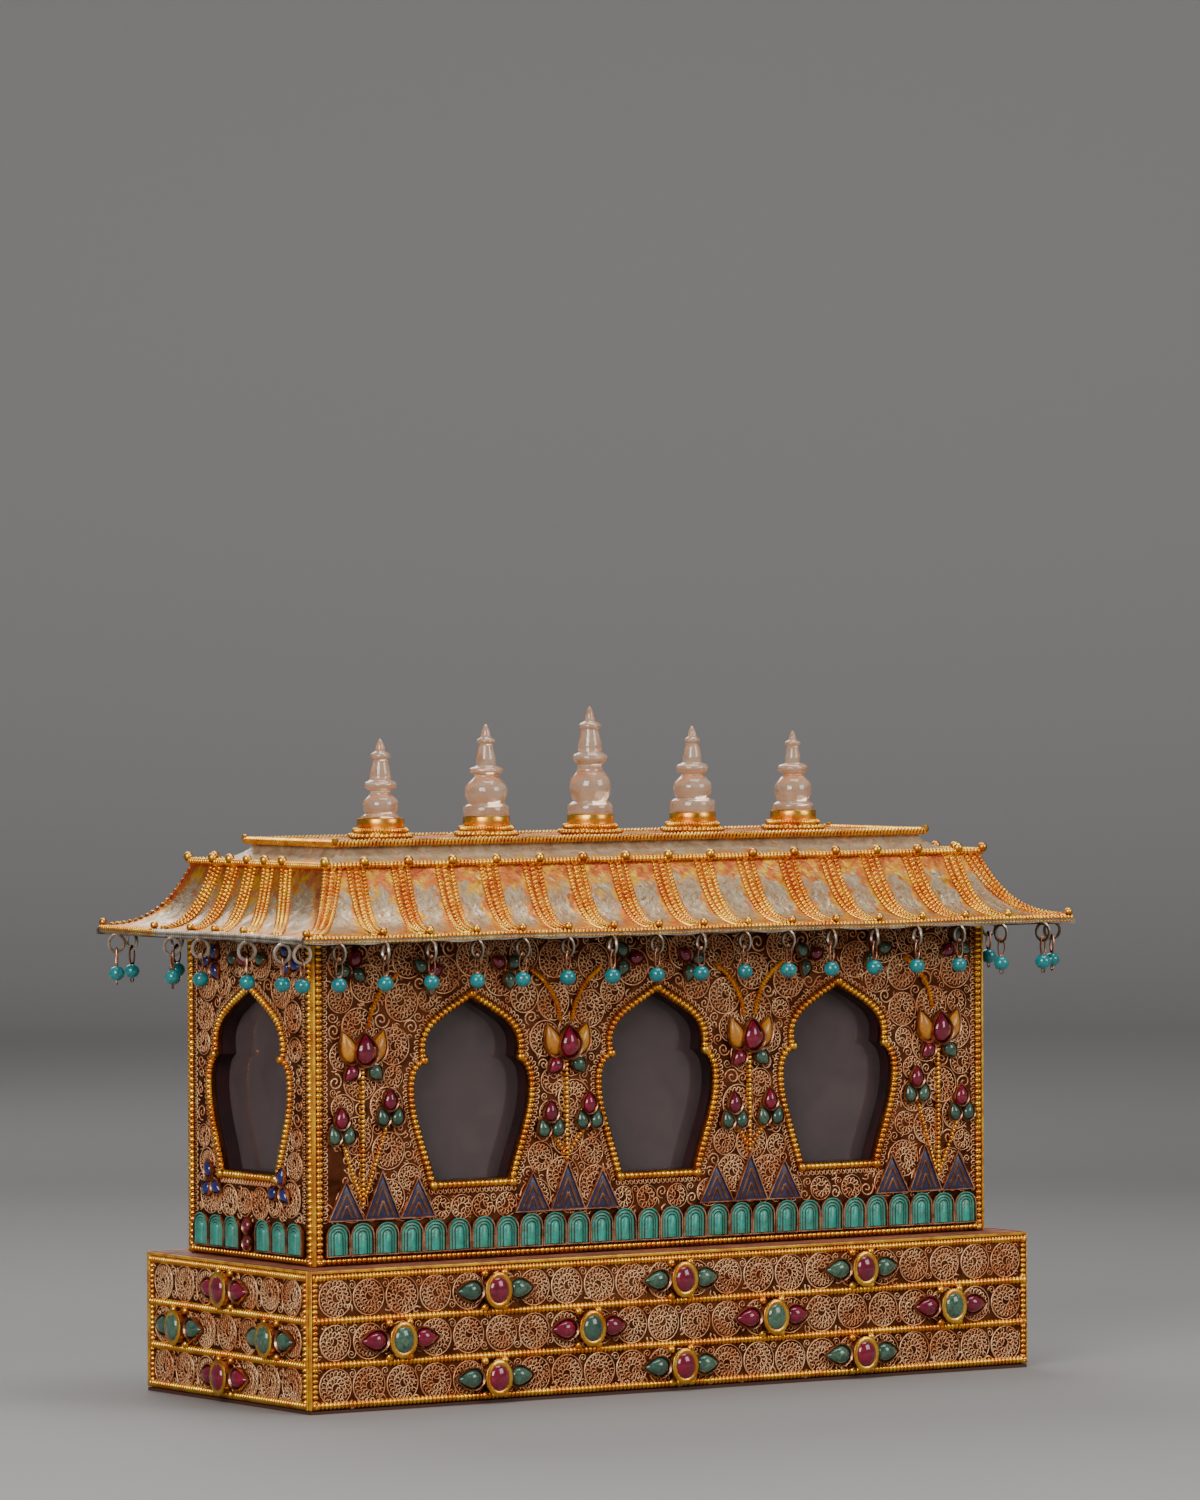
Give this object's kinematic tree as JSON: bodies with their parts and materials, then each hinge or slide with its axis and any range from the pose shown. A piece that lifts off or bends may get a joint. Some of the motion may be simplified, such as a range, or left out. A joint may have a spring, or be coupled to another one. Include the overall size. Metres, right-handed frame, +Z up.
{
  "type": "buddhist altar box",
  "caption": "Shrine box with a clad plinth, lobed glazed windows, a curved hipped roof hung with beads, and crystal finials.",
  "frame": {"origin": "middle of the plinth's underside", "axes": "+X along the long side to the viewer's right, +Y towards the back, +Z up"},
  "size_m": [0.3492, 0.1572, 0.2544],
  "materials": {
    "wood": "dark red paint on wood",
    "filigree": "oxidised copper and silver wire",
    "gilt": "gilded metal",
    "silver": "hammered silver sheet with gold wash",
    "turquoise": "polished stone with brown veins",
    "lapis": "polished dark blue stone",
    "ruby": "polished red cabochon",
    "green_stone": "polished green cabochon",
    "amber": "polished honey-coloured stone",
    "copper": "dark copper wire",
    "crystal": "clear rock crystal with red residue",
    "window_glass": "clear window glass"
  },
  "bodies": {
    "root": {"plinth_box": "wood", "plinth_panel_front": "filigree", "plinth_panel_back": "filigree", "plinth_panel_left": "filigree", "plinth_panel_right": "filigree", "wall_front": "wood", "wall_back": "wood", "wall_left": "wood", "wall_right": "wood", "wall_panel_front": "filigree", "wall_panel_back": "filigree", "wall_panel_left": "filigree", "wall_panel_right": "filigree", "tile_row_front": "turquoise", "tile_row_back": "turquoise", "tile_row_left": "turquoise", "tile_row_right": "turquoise", "pane_front_left": "window_glass", "pane_front_middle": "window_glass", "pane_front_right": "window_glass", "pane_back_left": "window_glass", "pane_back_middle": "window_glass", "pane_back_right": "window_glass", "pane_left": "window_glass", "pane_right": "window_glass", "lotus_spray_front_1": "lapis", "lotus_spray_front_2": "lapis", "lotus_spray_front_3": "lapis", "lotus_spray_front_4": "lapis", "peaks_back_1": "lapis", "peaks_back_2": "lapis", "peaks_back_3": "lapis", "peaks_back_4": "lapis", "roof_soffit": "silver", "roof_shell": "silver", "roof_cap": "silver", "roof_ribs_front": "gilt", "roof_ribs_back": "gilt", "roof_ribs_left": "gilt", "roof_ribs_right": "gilt", "finial_collar_1": "gilt", "finial_collar_2": "gilt", "finial_collar_3": "gilt", "finial_collar_4": "gilt", "finial_collar_5": "gilt", "finial_1": "crystal", "finial_2": "crystal", "finial_3": "crystal", "finial_4": "crystal", "finial_5": "crystal", "pendants_front": "turquoise", "pendants_back": "turquoise", "pendants_left": "turquoise", "pendants_right": "turquoise"}
  },
  "joints": []
}
